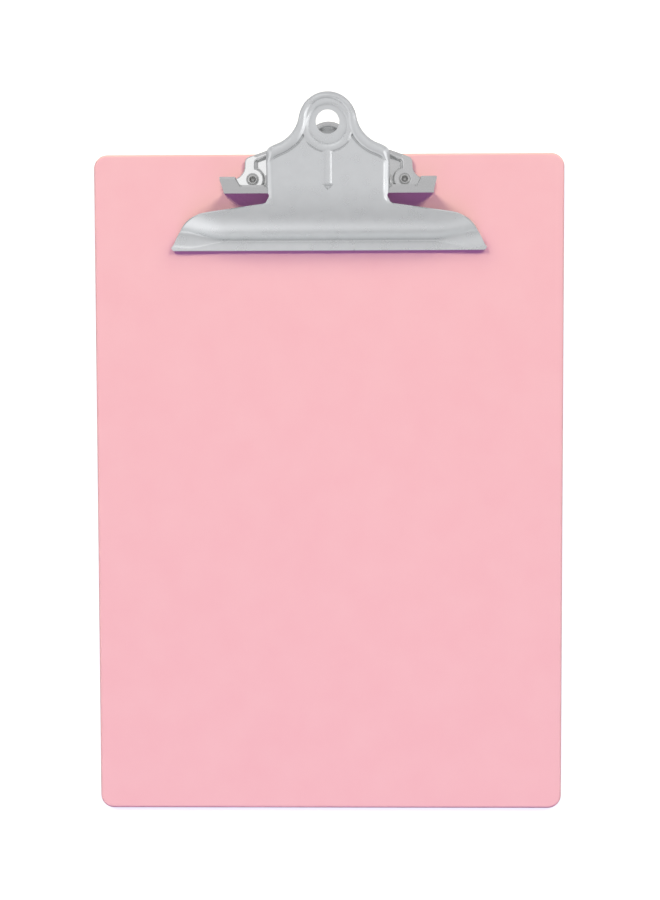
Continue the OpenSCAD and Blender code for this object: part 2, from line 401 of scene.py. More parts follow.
def floor_paint():
    material, tree, shader, place = new_material("floor_white")
    paint = mix_colours(tree, noise(tree, place, 3, 2), (0.48, 0.48, 0.48), (0.50, 0.50, 0.50))
    tree.links.new(paint, shader.inputs["Base Color"])
    shader.inputs["Roughness"].default_value = 0.9
    shader.inputs["Specular IOR Level"].default_value = 0.1
    shader.inputs["Emission Color"].default_value = (1, 1, 1, 1)
    shader.inputs["Emission Strength"].default_value = 0.80
    return material


MATERIALS = {
    "board_plastic": board_plastic(),
    "clip_steel": nickel("lever_satin_nickel", (0.918, 0.938, 0.941), 0.26, 0.31, 0.12),
    "base_steel": nickel("base_bright_nickel", (0.84, 0.845, 0.84), 0.16, 0.21, 0.08, 0.0016),
    "pin_steel": nickel("pin_bright_nickel", (0.78, 0.78, 0.77), 0.16, 0.24, 0.10),
    "rivet_steel": nickel("rivet_bright_nickel", (0.80, 0.80, 0.79), 0.12, 0.20, 0.08, 0.0012),
    "spring_wire": nickel("spring_drawn_wire", (0.40, 0.40, 0.41), 0.22, 0.34, 0.30),
}


def dress(piece, node, slot, look=None):
    """Gives a piece the material for its slot, and hides the CAD node that it stands for."""
    piece.data.materials.clear()
    piece.data.materials.append(MATERIALS[look or slot])
    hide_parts(node)
    return piece


# ---- board ----
CORNER_R = 6.5
EDGE_R = 1.25
RIVET_X = 36.8
RIVET_T = -12.6
RIVET_HOLE_R = 1.95
HEAD_HOLE_R = 4.4                   # the recess behind the board for a rivet's head
HEAD_HOLE_DEEP = 1.05


def rounded_loop(half_w, half_l, radius, z, count=12):
    loop = []
    for sx, sy, start in ((1, 1, 0), (-1, 1, 90), (-1, -1, 180), (1, -1, 270)):
        centre = (sx * (half_w - radius), sy * (half_l - radius))
        loop += [(x, y, z) for x, y in arc(centre, radius, start, start + 90, count)]
    return loop


def cutter(radius, z_low, z_high, centre):
    """A closed cylinder that the board is cut with."""
    return lathe("cutter", [(0, z_low), (radius, z_low), (radius, z_high), (0, z_high)], centre, steps=64)


def make_board():
    half_w, half_l = BOARD_HIGH[:2]
    thick = FACE
    levels = [(EDGE_R + 0.4, 0)]
    for a in np.radians(np.linspace(90, 0, 7)):
        levels.append((EDGE_R * (1 - math.cos(a)), EDGE_R * (1 - math.sin(a))))
    levels += [(inset, thick - z) for inset, z in reversed(levels)]
    points, faces = [], []
    for inset, z in levels:
        points += rounded_loop(half_w - inset, half_l - inset, CORNER_R - inset, z)
    size = len(points) // len(levels)
    for i in range(len(levels) - 1):
        for k in range(size):
            n = (k + 1) % size
            faces.append((i * size + k, i * size + n, (i + 1) * size + n, (i + 1) * size + k))
    faces.append(tuple(reversed(range(size))))
    faces.append(tuple(range(len(points) - size, len(points))))
    board = mesh_object("writing_board", points, faces, 50)
    for side in (-1, 1):
        for radius, z_low, z_high in ((HEAD_HOLE_R, -2, HEAD_HOLE_DEEP), (RIVET_HOLE_R, -3, thick + 2)):
            tool = cutter(radius, z_low, z_high, (side * RIVET_X, TOP + RIVET_T, 0))
            cut = board.modifiers.new("cut", "BOOLEAN")
            cut.operation = "DIFFERENCE"
            cut.solver = "EXACT"
            cut.object = tool
            bpy.context.view_layer.objects.active = board
            bpy.ops.object.modifier_apply(modifier="cut")
            bpy.data.objects.remove(tool)
    board.data.set_sharp_from_angle(angle=math.radians(50))
    board.visible_glossy = False    # so that the metal stays grey
    board.visible_diffuse = False
    return dress(board, "board", "board_plastic")


# ---- lever ----
TILT = math.radians(17)
HOLE = np.array([8.0, 33.0])        # the hanging hole's centre, as T and height
HOLE_R = 5.4
RING_R = 13.4
HALF_W = 28.8                       # half width of the body, over its flanges
NECK_C = (28.7, 5.2)                # centre of the concave curve beside the ring
NECK_R = math.hypot(*NECK_C) - RING_R
BODY_LEN = 27.4                     # down the plate, from the hanging hole to where the hood begins
HOOD_R = 34.0
HOOD_SLOPE = math.radians(64)       # the hood's steep lower end
LIP_RISE = math.radians(9)          # the lip's slope, up and away from the crease
CREASE_R = 0.8
LIP_LEN = 4.2
CREASE_UP = 0.12 + SHEET            # upper face of the crease above the writing face
BEND_R = 3.8                        # outer radius of the bend from body to flange
BEND_X = HALF_W - BEND_R
BEND_ARC = BEND_R * math.pi / 2
ROLL_UP = 1.2                       # height of the rolled edge round the ring and shoulders
ROLL_DROP = 1.0                     # how far its outer side turns down under the plate's face
ROLL_CREST = 0.46                   # where the crest is, as a share of the roll's width
RING_BEAD = (-1.0, 10.4)            # centre, up the plate, and crest radius of the bead round the hole
RING_BEAD_IN = 1.5                  # the bead's width inside its crest
RING_BEAD_OUT = 1.9                 # and outside it
RING_BEAD_UP = 0.46
GROOVE_DEEP = 0.34                  # the grooves along the feet of the rolled edge and the bead
GROOVE_HALF = 0.75
BEAD_GROOVE_HALF = 0.6
HOLE_SEAT = 0.50                    # how far the ring's middle lies under the plate
RIB_HALF = 1.85
RIB_UP = 0.36
RIB_START = -9.4                    # the rib's upper and lower end, up the plate from the hanging hole
RIB_END = -28.2
PUNCH_LEN = 2.9                     # the triangular mark punched at the rib's end
PUNCH_DEEP = 0.6
BOSS_R = 5.0                        # rounded ends of flanges and ears, round the pin
PIN_HOLE_R = 1.88
JAW_T = -26.6                       # where the body meets the jaw's rear edge
END_START = 50.0                    # beyond this X the crease moves back and softens
END_SHIFT = 2.4
END_CREASE_R = 7.2
END_SINK = 0.9


def along(a):
    """Down the sheet towards the lip, where it slopes at a."""
    return np.array([-math.cos(a), -math.sin(a)])


def normal(a):
    return np.array([-math.sin(a), math.cos(a)])


hood_centre = HOLE + BODY_LEN * along(TILT) - HOOD_R * normal(TILT)
slope_top = hood_centre + HOOD_R * normal(HOOD_SLOPE)
slope_drop = slope_top[1] - CREASE_UP - CREASE_R * (1 - math.cos(HOOD_SLOPE))
slope_end = slope_top + slope_drop / math.sin(HOOD_SLOPE) * along(HOOD_SLOPE)
crease_centre = slope_end + CREASE_R * normal(HOOD_SLOPE)
lip_top = crease_centre - CREASE_R * normal(-LIP_RISE)
lip_edge_t = (lip_top + LIP_LEN * along(-LIP_RISE))[0]
fold = math.tan((HOOD_SLOPE + LIP_RISE) / 2)
fold_corner = slope_end + CREASE_R * fold * along(HOOD_SLOPE)


def plate_height(t):
    return HOLE[1] + (t - HOLE[0]) * math.tan(TILT)


def hood_height(t, crease_r):
    """The lever's upper face over the board at T, with a crease of the given radius."""
    hood_start = hood_centre[0] + HOOD_R * normal(TILT)[0]
    hood = hood_centre[1] + np.sqrt(np.maximum(HOOD_R ** 2 - (t - hood_centre[0]) ** 2, 0))
    slope = fold_corner[1] + (t - fold_corner[0]) * math.tan(HOOD_SLOPE)
    lip = fold_corner[1] - (t - fold_corner[0]) * math.tan(LIP_RISE)
    reach = crease_r * fold
    centre_t = fold_corner[0] + reach * math.cos(HOOD_SLOPE) - crease_r * math.sin(HOOD_SLOPE)
    centre_z = fold_corner[1] + reach * math.sin(HOOD_SLOPE) + crease_r * math.cos(HOOD_SLOPE)
    crease = centre_z - np.sqrt(np.maximum(crease_r ** 2 - (t - centre_t) ** 2, 0))
    height = np.where(t > hood_start, plate_height(t), hood)
    height = np.where(t < slope_top[0], slope, height)
    height = np.where(t < fold_corner[0] + reach * math.cos(HOOD_SLOPE), crease, height)
    return np.where(t < fold_corner[0] - reach * math.cos(LIP_RISE), lip, height)


def plate_t(y):
    """T of a point y up the thumb plate from the hanging hole."""
    return HOLE[0] + np.asarray(y) * math.cos(TILT)


def flange_u(depth):
    """Where the flat sheet has to reach so that its flange is this deep."""
    return BEND_X + BEND_ARC + depth - BEND_R


def lever_outlines():
    """The lever's flat outline, right half, as (u, T), and its rolled upper edge."""
    neck_a = math.degrees(math.atan2(NECK_C[1], NECK_C[0]))
    edge = arc((0, 0), RING_R, 90, neck_a, 40) + arc(NECK_C, NECK_R, 180 + neck_a, 251, 40)[1:]
    edge += smooth_line([edge[-1], (25.4, -10.5), (27.4, -11.6), (29.0, -12.9), (30.6, -14.4)], 4)[1:]
    edge = [(x, plate_t(y)) for x, y in edge]
    pivot_t = PIVOT[1] - TOP - HOLE[0]
    pivot_h = PIVOT[2] - FACE - HOLE[1]
    pivot_y = pivot_t * math.cos(TILT) + pivot_h * math.sin(TILT)
    pivot_depth = pivot_t * math.sin(TILT) - pivot_h * math.cos(TILT)
    boss = [(flange_u(pivot_depth - BOSS_R * math.sin(a)), plate_t(pivot_y + BOSS_R * math.cos(a)))
            for a in np.radians(np.linspace(20, -155, 24))]
    flange = [(flange_u(depth), plate_t(y)) for depth, y in ((4.6, -16.2), (6.8, -18.6), (8.2, -21))]
    front = [(flange_u(8), plate_t(-31.6)), (29.8, plate_t(-32.0)), (28.6, plate_t(-32.4)),
             (28.1, plate_t(-32.9)), (28.0, plate_t(-33.6)), (28.3, plate_t(-34.3))]
    half_jaw = LEVER_HIGH[0]
    corner_r, tip_r = 2.6, 1.4
    corner = arc((HALF_W + corner_r, JAW_T + 1.6), corner_r, 188, 262, 10)
    falls = ((30, 3), (17.5, 4.6), (13, 5.9), (9, 7.9), (5.6, 10.6), (3, 13.6), (1.2, 17))
    rear = [(half_jaw - in_x, JAW_T - down_t) for in_x, down_t in falls]
    rear.append((half_jaw, lip_edge_t + tip_r))
    tip = arc((half_jaw - tip_r, lip_edge_t + tip_r), tip_r, 0, -90, 8)[1:]
    half = edge + flange + boss + front + corner + smooth_line(rear) + tip + [(0, lip_edge_t)]
    hole = (flange_u(pivot_depth), float(plate_t(pivot_y)))
    return half, edge, hole


def smooth_line(points, count=6):
    """A smooth curve through the points."""
    points = np.array(points, float)
    padded = np.vstack([2 * points[0] - points[1], points, 2 * points[-1] - points[-2]])
    out = []
    for i in range(len(points) - 1):
        a, b, c, d = padded[i:i + 4]
        for t in np.arange(count) / count:
            square, cube = 2 * a - 5 * b + 4 * c - d, 3 * b - a - 3 * c + d
            out.append(tuple(0.5 * (2 * b + (c - a) * t + square * t ** 2 + cube * t ** 3)))
    out.append(tuple(points[-1]))
    return out


def dome(offset, half, up):
    """A bead's height at an offset from its crest: a round arc that meets the sheet at a crisp corner."""
    radius = (half ** 2 + up ** 2) / (2 * up)
    return np.sqrt(np.maximum(radius ** 2 - offset ** 2, (radius - up) ** 2)) - (radius - up)


def groove(offset, half):
    """A round groove's depth at an offset from its middle."""
    return GROOVE_DEEP * (1 - np.clip(np.abs(offset) / half, 0, 1) ** 2) ** 2


def rolled(d, width, up, drop):
    """Height of a rolled edge at distance d from it: a bead inside, and a quarter turn down at the edge."""
    crest = ROLL_CREST * width
    inner = dome(d - crest, width - crest, up)
    turn = np.clip((crest - d) / crest, 0, 1)
    outer = up - (up + drop) * (1 - np.sqrt(np.maximum(1 - turn ** 2, 0)))
    return np.where(d > crest, inner, outer)


def roll_width(y):
    """The lever's rolled edge is wide at the shoulders and narrow round the top of the ring."""
    return 2.9 + 2.0 * smooth(11, -8, y)


def plate_plane(flat):
    """Points of the flat outline as (x, y) on the thumb plate, from the hanging hole."""
    return np.column_stack([flat[:, 0], (flat[:, 1] - HOLE[0]) / math.cos(TILT)])


def lever_relief(flat, edge_line):
    """How far the pressed beads stand above the plate."""
    plane = plate_plane(flat)
    x = plane[:, 0]
    edge = plate_plane(edge_line)
    d = np.minimum(distance(plane, edge), distance(plane, edge * (-1, 1)))
    y = plane[:, 1]
    width = roll_width(y)
    roll = rolled(d, width, ROLL_UP, ROLL_DROP) * smooth(28.8, 25.6, np.abs(x))
    off = np.hypot(x, y - RING_BEAD[0]) - RING_BEAD[1]
    bead_half = np.where(off < 0, RING_BEAD_IN, RING_BEAD_OUT)
    bead = dome(off, bead_half, RING_BEAD_UP)
    rib = dome(x, RIB_HALF, RIB_UP)
    rib = rib * smooth(RIB_START, RIB_START - 1.2, y) * smooth(RIB_END, RIB_END + 0.7, y)
    beads = np.maximum(np.maximum(roll, bead), rib)
    clear = smooth(0.25, 0, np.maximum(bead, rib))
    roll_foot = groove(d - 1.04 * width, GROOVE_HALF)
    beads = beads - roll_foot * smooth(10, 3, y) * smooth(27, 24.5, np.abs(x)) * clear
    bead_foot = groove(off - RING_BEAD_OUT - 0.1, BEAD_GROOVE_HALF)
    beads = beads - bead_foot * smooth(-8.4, -9.6, y) * smooth(1.9, 2.7, np.abs(x)) * smooth(0.25, 0, roll)
    height = np.where(d > ROLL_CREST * width, beads, roll)
    seat = HOLE_SEAT * smooth(-RING_BEAD_IN + 0.1, -RING_BEAD_IN - 0.3, off)
    punch = np.maximum(np.abs(x) * 0.88 - (y - RIB_END + PUNCH_LEN) * 0.8, y - RIB_END)
    dimple = PUNCH_DEEP * smooth(0.1, -0.75, punch) * smooth(RIB_END + 0.25, RIB_END - 0.1, y)
    return height - seat - dimple


def lever_surface(flat, edge_line):
    """Carries the flat sheet's points (u, T) to the lever's upper face."""
    u, t = flat[:, 0], flat[:, 1]
    side, reach = np.sign(u), np.abs(u)
    bent = smooth(-27.5, -23.5, t)
    turn = np.clip((reach - BEND_X) / BEND_R, 0, math.pi / 2)
    past = np.maximum(reach - BEND_X - BEND_ARC, 0)
    bent_x = np.where(reach > BEND_X, BEND_X + BEND_R * np.sin(turn), reach)
    x = bent * bent_x + (1 - bent) * reach
    drop = bent * (BEND_R * (1 - np.cos(turn)) + past)
    crease_r = CREASE_R + END_CREASE_R * smooth(END_START, END_START + 20, x)
    shift = END_SHIFT * smooth(END_START, END_START + 28, x) * smooth(-27, -38, t)
    sink = END_SINK * smooth(END_START - 10, END_START + 26, x) * smooth(-42, -33, t)
    height = hood_height(t - shift, crease_r) - sink
    relief = lever_relief(flat, edge_line) * smooth(-25, -22.5, t) - drop
    points = np.column_stack([side * x, TOP + t, FACE + height])
    return points + relief[:, None] * np.array([0, -math.sin(TILT), math.cos(TILT)])


def make_lever():
    half, edge, pin_hole = lever_outlines()
    outline = resample(both_sides(half), 0.5)
    edge_line = resample(edge, 0.4, closed=False)
    holes = [np.array([(x, plate_t(y)) for x, y in circle((0, 0), HOLE_R, 80)])]
    holes += [np.array(circle((side * pin_hole[0], pin_hole[1]), PIN_HOLE_R, 32)) for side in (-1, 1)]
    width = roll_width(plate_plane(edge_line)[:, 1])
    shares = (0.012, 0.04, 0.09, 0.16, 0.25, 0.36, ROLL_CREST, 0.6, 0.75, 0.88,
              0.94, 0.99, 1.04, 1.09, 1.15, 1.21)
    lines = [offset_line(edge_line, width * share) for share in shares]
    lines += [line * (-1, 1) for line in lines]
    for r in (8.6, 9.1, 9.3, 9.7, 10.4, 11.1, 11.7, 12.0, 12.2, 12.4, 12.6, 12.8, 13.0):
        lines.append(np.array([(x, plate_t(y)) for x, y in circle((0, RING_BEAD[0]), r, 96)]))
    for x in (-2.1, -1.85, -1.6, 1.6, 1.85, 2.1):
        lines.append(np.array([(x, plate_t(y)) for y in np.linspace(-12.2, -28.6, 44)]))
    for step in (0.3, 0.8):
        lines.append(np.array([(x, plate_t(y)) for x, y in circle((0, 0), HOLE_R + step, 80)]))
    extra = np.vstack(lines)
    top_low = -23.4
    plane = grid(-34, 34, 0.36, top_low, 22, 0.34)
    flat_xy = plate_plane(plane)
    roll_d = np.minimum(distance(plane, edge_line), distance(plane, edge_line * (-1, 1)))
    off = np.hypot(flat_xy[:, 0], flat_xy[:, 1] - RING_BEAD[0])
    relief = (roll_d < 5.3) | (off < 13.5) | (np.abs(flat_xy[:, 0]) < 2.8)
    bend = grid(-34, 34, 0.7, top_low, 22, 0.8)
    far = np.minimum(distance(bend, edge_line), distance(bend, edge_line * (-1, 1))) > 5.4
    far &= np.hypot(bend[:, 0], plate_plane(bend)[:, 1] - RING_BEAD[0]) > 13.6
    far &= np.abs(bend[:, 0]) > 2.9
    flanges = [grid(low, low + 14, 0.8, top_low - 2, -3, 0.8) for low in (34, -48)]
    jaw = grid(-77, 77, 1.0, lip_edge_t, top_low - 0.4, 0.4)
    fill = np.vstack([plane[relief], bend[far], *flanges, jaw])
    fill = np.vstack([fill[near_lines(fill, extra) > LINE_GAP], extra])
    fill = fill[inside(fill, outline)]
    for hole in holes:
        fill = fill[~inside(fill, hole)]
    fill = clear_of(fill, holes, HOLE_GAP)
    flat, triangles = flat_mesh(outline, holes, fill)
    upper = lever_surface(flat, edge_line)
    points, faces = thick_sheet(upper, triangles, SHEET)
    lever = mesh_object("clip_lever_sheet", points, faces, 42)
    normals = surface_normals(lambda f: lever_surface(f, edge_line), flat)
    cut = distance(flat, outline, closed=True) < CUT_EDGE
    normals[cut] = vertex_normals(upper, triangles)[cut]
    shade_by(lever, normals)
    return dress(lever, "clip_lever", "clip_steel")


def near_lines(points, others):
    """The distance from each point to the nearest of the others."""
    tree = KDTree(len(others))
    for i, (x, y) in enumerate(others):
        tree.insert((x, y, 0), i)
    tree.balance()
    return np.array([tree.find((x, y, 0))[2] for x, y in points])


def offset_line(line, inset):
    """A polyline moved to its right, which is inwards for an outline that runs clockwise."""
    steps = np.gradient(line, axis=0)
    steps /= np.linalg.norm(steps, axis=1)[:, None]
    return line + np.column_stack([steps[:, 1] * inset, -steps[:, 0] * inset])


# ---- base plate ----
BASE_RING_T = 4.0
BASE_RING_R = 11.3
BASE_HOLE_R = 3.9
LEG_X = 40.5
WING_T = -12.5
WING_X = BASE_HIGH[0]
STOP_T = -19.2
STOP_LEAN = math.radians(7.3)
STOP_MID = 12.0                     # the paper stop's height beside its posts
STOP_LOW = 7.0                      # and between the ears
POST_H = BASE_HIGH[2] - FACE
WALL_R = 0.8                        # inner radius of the bend from floor to paper stop
WALL_T = STOP_T + SHEET + WALL_R    # where the floor starts to bend up
WALL_TURN = math.pi / 2 + STOP_LEAN
WALL_ARC = WALL_R * WALL_TURN
PAD_UP = 1.0
LEG_RAMP = (34.1, 36.2)             # the raised legs' inner side climbs between these
SEAT_RAMP = (6.1, 4.9)              # and the round rivet seats' side between these radii
RIM_W = 3.8
RIM_UP = 1.25
RIM_FALL = 0.9                      # how far the tab's rim turns down under its face
SINK_DEEP = 0.35                    # the rivet seats' countersink
SEAT_EDGE = 0.3                     # the rounding of the raised legs' cut edge
EAR_X = 26.6                        # outer face of an ear
EAR_HOLE_R = 1.86


def wall_v(height):
    """Where the flat sheet has to reach so that the paper stop stands this high over the board."""
    bend_top = SHEET + WALL_R * (1 - math.cos(WALL_TURN))
    return WALL_T - WALL_ARC - (height - bend_top) / math.cos(STOP_LEAN)


def base_outlines():
    """The base's flat outline, right half, as (x, v), and its rolled rear edge."""
    neck_c = (17.94, BASE_RING_T + 14.89)
    neck_a = math.degrees(math.atan2(14.89, 17.94))
    rear = arc((0, BASE_RING_T), BASE_RING_R, 90, neck_a, 30)
    rear += arc(neck_c, 12.0, 180 + neck_a, 250, 20)[1:]
    rear += arc((LEG_X - 3, -4.6), 3.0, 69, 0, 12)
    leg = [(LEG_X, -5.0)] + arc((LEG_X + 6.5, -6.0), 6.5, 188, 268, 14)
    wing = [(WING_X - 0.8, WING_T), (WING_X, WING_T - 0.8)]
    top = wall_v(POST_H)
    post = [(WING_X, top + 0.6), (WING_X - 0.6, top), (WING_X - 6.8, top), (WING_X - 7.4, top + 0.6)]
    step = [(42.2, wall_v(STOP_MID + 1.0)), (41.4, wall_v(STOP_MID)), (30.4, wall_v(STOP_MID)),
            (29.6, wall_v(STOP_MID - 0.6)), (29.0, wall_v(STOP_LOW + 0.8)), (28.2, wall_v(STOP_LOW))]
    return rear + leg + wing + post + step + [(0, wall_v(STOP_LOW))], rear


def base_relief(x, t, rear_line, outline):
    """How far the rear rim, the legs and the rivet seats are pressed up."""
    flat = np.column_stack([np.abs(x), t])
    d = distance(flat, rear_line)
    on_tab = smooth(0.3, 2.0, t)
    leg = smooth(*LEG_RAMP, np.abs(x)) * smooth(WALL_T + 0.4, WALL_T + 1.6, t) * (1 - on_tab)
    rim_up = PAD_UP + (RIM_UP - PAD_UP) * on_tab
    rim = rolled(d, RIM_W, 1, 0) * rim_up - rim_drop(d) * on_tab
    from_rivet = np.hypot(np.abs(x) - RIVET_X, t - RIVET_T)
    seat = np.maximum(leg, smooth(*SEAT_RAMP, from_rivet))
    countersink = SINK_DEEP * smooth(3.1, 2.3, from_rivet)
    at_edge = np.clip(1 - distance(flat, outline, closed=True) / 0.45, 0, 1)
    edge_fall = SEAT_EDGE * (1 - np.sqrt(np.maximum(1 - at_edge ** 2, 0))) * seat
    return rim * (1 - leg) + PAD_UP * seat - countersink - edge_fall


def rim_drop(d):
    """The tab's rim turns down at its edge, below the tab's own face."""
    turn = np.clip(1 - d / (ROLL_CREST * RIM_W), 0, 1)
    return RIM_FALL * (1 - np.sqrt(np.maximum(1 - turn ** 2, 0)))


def base_surface(flat, rear_line, outline):
    x, v = flat[:, 0], flat[:, 1]
    turn = np.clip((WALL_T - v) / WALL_R, 0, WALL_TURN)
    up = np.maximum(WALL_T - WALL_ARC - v, 0)
    t = np.where(v > WALL_T, v, WALL_T - WALL_R * np.sin(turn) + up * math.sin(STOP_LEAN))
    height = SHEET + WALL_R * (1 - np.cos(turn)) + up * math.cos(STOP_LEAN)
    height = height + base_relief(x, v, rear_line, outline) * smooth(WALL_T, WALL_T + 0.6, v)
    return np.column_stack([x, TOP + t, FACE + height])


def rounded_window(x_low, x_high, t_low, t_high, r=1.5):
    corners = ((x_high - r, t_high - r, 0), (x_low + r, t_high - r, 90),
               (x_low + r, t_low + r, 180), (x_high - r, t_low + r, 270))
    return [p for x, t, start in corners for p in arc((x, t), r, start, start + 90, 6)]


def ear_points(x_out):
    """One ear, as a closed solid with its pin hole."""
    pivot = (PIVOT[1] - TOP, PIVOT[2] - FACE)
    root = [(-2.2, 0.6), (pivot[0] - 4.2, 0.6)]
    outline = resample(arc(pivot, BOSS_R, 200, 40, 30) + root, 0.6)
    flat, triangles = flat_mesh(outline, [np.array(circle(pivot, EAR_HOLE_R, 32))], np.zeros((0, 2)))
    surface = np.column_stack([np.full(len(flat), x_out), TOP + flat[:, 0], FACE + flat[:, 1]])
    return thick_sheet(surface, triangles, SHEET)


def make_base():
    half, rear = base_outlines()
    outline = resample(both_sides(half), 0.55)
    rear_line = resample(rear, 0.5, closed=False)
    windows = [rounded_window(5, 25.2, -15.5, -3)]
    windows.append([(-x, t) for x, t in windows[0]])
    holes = [resample(w, 0.6) for w in windows]
    holes.append(np.array(circle((0, BASE_RING_T), BASE_HOLE_R, 48)))
    holes += [np.array(circle((side * RIVET_X, RIVET_T), RIVET_HOLE_R, 32)) for side in (-1, 1)]
    shares = (0.015, 0.06, 0.13, 0.2, 0.28, 0.37, ROLL_CREST, 0.55, 0.65, 0.75, 0.84, 0.92, 1, 1.06)
    rims = [offset_line(rear_line, RIM_W * share) for share in shares]
    edges = [offset_line(resample(outline, 0.5), inset) for inset in (0.06, 0.16, 0.3, 0.45)]
    rings = [np.array(circle((RIVET_X, RIVET_T), r, 60)) for r in np.arange(2.3, 6.6, 0.3)]
    legs = [np.array([(x, t) for t in np.linspace(-8, -1, 18)]) for x in np.arange(33.8, 36.6, 0.3)]
    extra = np.vstack(rims + rings + legs)
    extra = np.vstack([extra, extra * (-1, 1)] + edges)
    fine = np.vstack([grid(side * 27, side * 52, 0.4, WALL_T, 5, 0.4) for side in (-1, 1)]
                     + [grid(-27, 27, 0.45, -3, 16, 0.45)])
    coarse = np.vstack([grid(-27, 27, 1.2, WALL_T, -3.5, 1.2),
                        grid(-52, 52, 1.2, wall_v(POST_H), WALL_T - WALL_ARC, 1.2),
                        grid(-52, 52, 1.2, WALL_T - WALL_ARC, WALL_T, 0.16)])
    fill = np.vstack([fine, coarse])
    fill = np.vstack([fill[near_lines(fill, extra) > LINE_GAP], extra])
    fill = fill[inside(fill, outline)]
    for hole in holes:
        fill = fill[~inside(fill, hole)]
    fill = clear_of(fill, holes, HOLE_GAP)
    flat, triangles = flat_mesh(outline, holes, fill)
    upper = base_surface(flat, rear_line, outline)
    points, faces = thick_sheet(upper, triangles, SHEET)
    normals = surface_normals(lambda f: base_surface(f, rear_line, outline), flat)
    cut = distance(flat, outline, closed=True) < CUT_EDGE
    normals[cut] = vertex_normals(upper, triangles)[cut]
    for x_out in (EAR_X, -EAR_X + SHEET):
        ear, ear_faces = ear_points(x_out)
        faces += [tuple(i + len(points) for i in f) for f in ear_faces]
        points = np.vstack([points, ear])
    base = mesh_object("base_stamping", points, faces, 42)
    shade_by(base, normals)
    return dress(base, "base_plate", "clip_steel", "base_steel")


# ---- pin, springs and rivets ----
PIN_R = 1.8
PIN_HEAD_R = 2.7
WIRE_R = 0.85
COIL_R = 4.0
COIL_X = 10.0                       # where the coil's first turn begins
COIL_TURNS = 4
COIL_PITCH = 2 * WIRE_R + 0.12
FOOT_GAP = WIRE_R + 0.08


def make_pin():
    end = HALF_W + 0.15
    head = [(PIN_HEAD_R - 0.25, end), (PIN_HEAD_R, end + 0.2), (PIN_HEAD_R, end + 0.45),
            (2.45, end + 0.8), (1.9, end + 1.05), (1.0, end + 1.18), (0, end + 1.2)]
    half = [(PIN_R, end - 0.02)] + head
    profile = [(r, -z) for r, z in reversed(half)] + half
    pin = lathe("pivot_pin_peened", profile, PIVOT, axis="X")
    return dress(pin, "pivot_pin", "pin_steel")


def spring_path():
    """The wire's centre line, relative to the pivot: foot on the base, coil, foot under the lever."""
    lower = np.array([14.0, FACE + SHEET + FOOT_GAP - PIVOT[2]])
    upper = HOLE + (TOP, FACE) + 13 * along(TILT) - (SHEET + FOOT_GAP) * normal(TILT) - PIVOT[1:]
    angle = [math.atan2(p[1], p[0]) for p in (lower, upper)]
    lead = [math.acos(COIL_R / np.linalg.norm(p)) for p in (lower, upper)]
    start = angle[0] - lead[0]
    end = angle[1] + lead[1] - 2 * math.pi * (COIL_TURNS + 1)
    turns = np.linspace(start, end, 220)
    coil = [(COIL_X + COIL_PITCH * (start - a) / (2 * math.pi), COIL_R * math.cos(a), COIL_R * math.sin(a))
            for a in turns]
    first, last = np.array(coil[0]), np.array(coil[-1])
    low_foot, high_foot = np.array([COIL_X, *lower]), np.array([last[0], *upper])
    leg_a = [low_foot + (first - low_foot) * s for s in (0, 0.015, 0.04, 0.3, 0.6, 0.85, 0.95)]
    leg_b = [last + (high_foot - last) * s for s in (0.05, 0.15, 0.4, 0.7, 0.96, 0.985, 1)]
    return np.array(leg_a + coil + leg_b), last[0]


def make_spring(side, node):
    path, coil_end = spring_path()
    wire = tube(node + "_wire", path * (side, 1, 1) + PIVOT, WIRE_R)
    if side < 0:
        wire.data.flip_normals()
    dress(wire, node, "spring_wire")
    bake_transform(wire)
    return wire


def make_rivet(side, node):
    seat = FACE + SHEET + PAD_UP + 0.02
    head = [(0, 0.1), (3.7, 0.1), (4.1, 0.25), (4.2, 0.5), (4.2, 1.0), (1.9, 1.0), (1.9, seat - 0.33)]
    rim = [(2.1, seat - 0.3), (2.3, seat - 0.1), (2.35, seat + 0.15), (2.25, seat + 0.42),
           (2.0, seat + 0.6), (1.72, seat + 0.6), (1.5, seat + 0.4), (1.4, seat)]
    bore = [(1.35, 3.0), (0.9, 2.5), (0.2, 2.2), (0, 2.18)]
    rivet = lathe(node + "_tube", head + rim + bore, (side * RIVET_X, TOP + RIVET_T, 0))
    return dress(rivet, node, "rivet_steel")


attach(make_board(), "base")
base = make_base()
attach(base, "base")
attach(make_pin(), "base")
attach(make_rivet(-1, "rivet_left"), "base")
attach(make_rivet(1, "rivet_right"), "base")
lever = make_lever()
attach(lever, "lever")
base.visible_diffuse = lever.visible_diffuse = False     # so that the clip's shadow stays dark
make_spring(-1, "spring_left")
make_spring(1, "spring_right")


# ---- floor, light and camera, in metres ----
FLOOR_HALF = 6.0
FLOOR_GAP = 0.0004                  # under the board, so that the two faces don't share a plane


def make_floor():
    mesh = bpy.data.meshes.new("floor")
    signs = ((-1, -1), (1, -1), (1, 1), (-1, 1))
    corners = [(x * FLOOR_HALF, y * FLOOR_HALF, -FLOOR_GAP) for x, y in signs]
    mesh.from_pydata(corners, [], [(0, 1, 2, 3)])
    floor = bpy.data.objects.new("floor", mesh)
    floor.data.materials.append(floor_paint())
    bpy.context.collection.objects.link(floor)
    floor.visible_glossy = False
    floor.visible_diffuse = False


def area_light(name, place, target, width, height, power, colour=(1, 1, 1)):
    data = bpy.data.lights.new(name, "AREA")
    data.shape = "RECTANGLE"
    data.size = width
    data.size_y = height
    data.energy = power
    data.color = colour
    light = bpy.data.objects.new(name, data)
    light.location = place
    light.rotation_euler = (Vector(target) - Vector(place)).to_track_quat("-Z", "Y").to_euler()
    bpy.context.collection.objects.link(light)
    return light


# the studio's brightness by height, from straight down at 0 to straight up at 1
SKY = ((0, 0.57), (0.23, 0.36), (0.34, 0.78), (0.47, 0.54), (0.56, 0.50), (0.8, 0.59), (1, 0.66))
